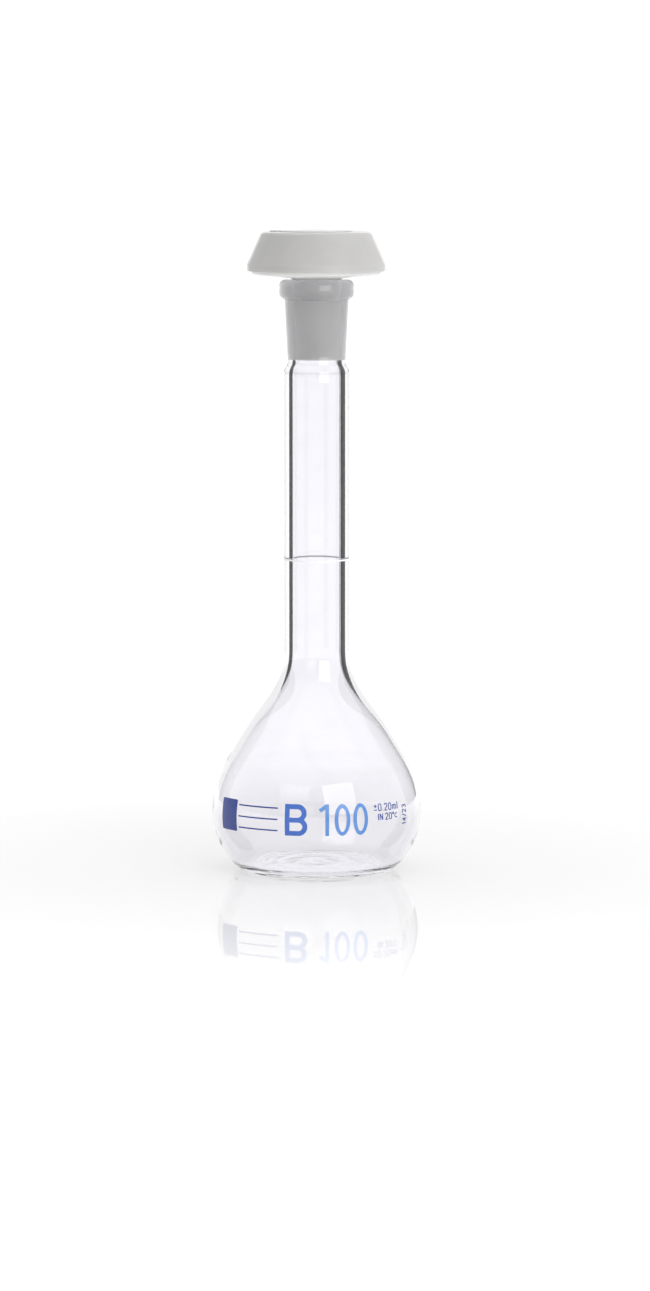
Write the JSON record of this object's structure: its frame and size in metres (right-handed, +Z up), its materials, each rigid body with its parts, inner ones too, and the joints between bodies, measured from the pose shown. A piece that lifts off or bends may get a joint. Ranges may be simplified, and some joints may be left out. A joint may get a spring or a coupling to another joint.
{
  "type": "volumetric flask",
  "caption": "Volumetric flask with a pear-shaped bulb, long narrow neck, fill line, ground socket and a lift-out hollow plastic stopper.",
  "frame": {"origin": "middle of the foot, on the surface that the flask stands on", "axes": "+Z up along the neck; the enamel marks face -Y, and the fill volume's number stands just to +X of -Y"},
  "size_m": [0.0601, 0.06, 0.184],
  "materials": {
    "glass": "clear, fire-polished borosilicate",
    "ground_glass": "clear outside, ground inside",
    "polyethylene": "milky, satin, as moulded",
    "white_enamel": "fired line",
    "blue_enamel": "fired screen print"
  },
  "bodies": {
    "flask": {"bulb": "glass", "neck_tube": "glass", "ground_socket": "ground_glass", "graduation_ring": "white_enamel", "marking_panel": "blue_enamel", "writing_lines": "blue_enamel", "class_letter": "blue_enamel", "capacity_number": "blue_enamel", "tolerance_text": "blue_enamel", "temperature_text": "blue_enamel", "joint_size_text": "blue_enamel"},
    "stopper": {"stopper_plug": "polyethylene", "stopper_cap": "polyethylene"}
  },
  "joints": [
    {"name": "stopper_lift", "type": "slide", "parent": "flask", "child": "stopper", "axis": [0, 0, 1], "range_m": [0, 0.04]}
  ]
}
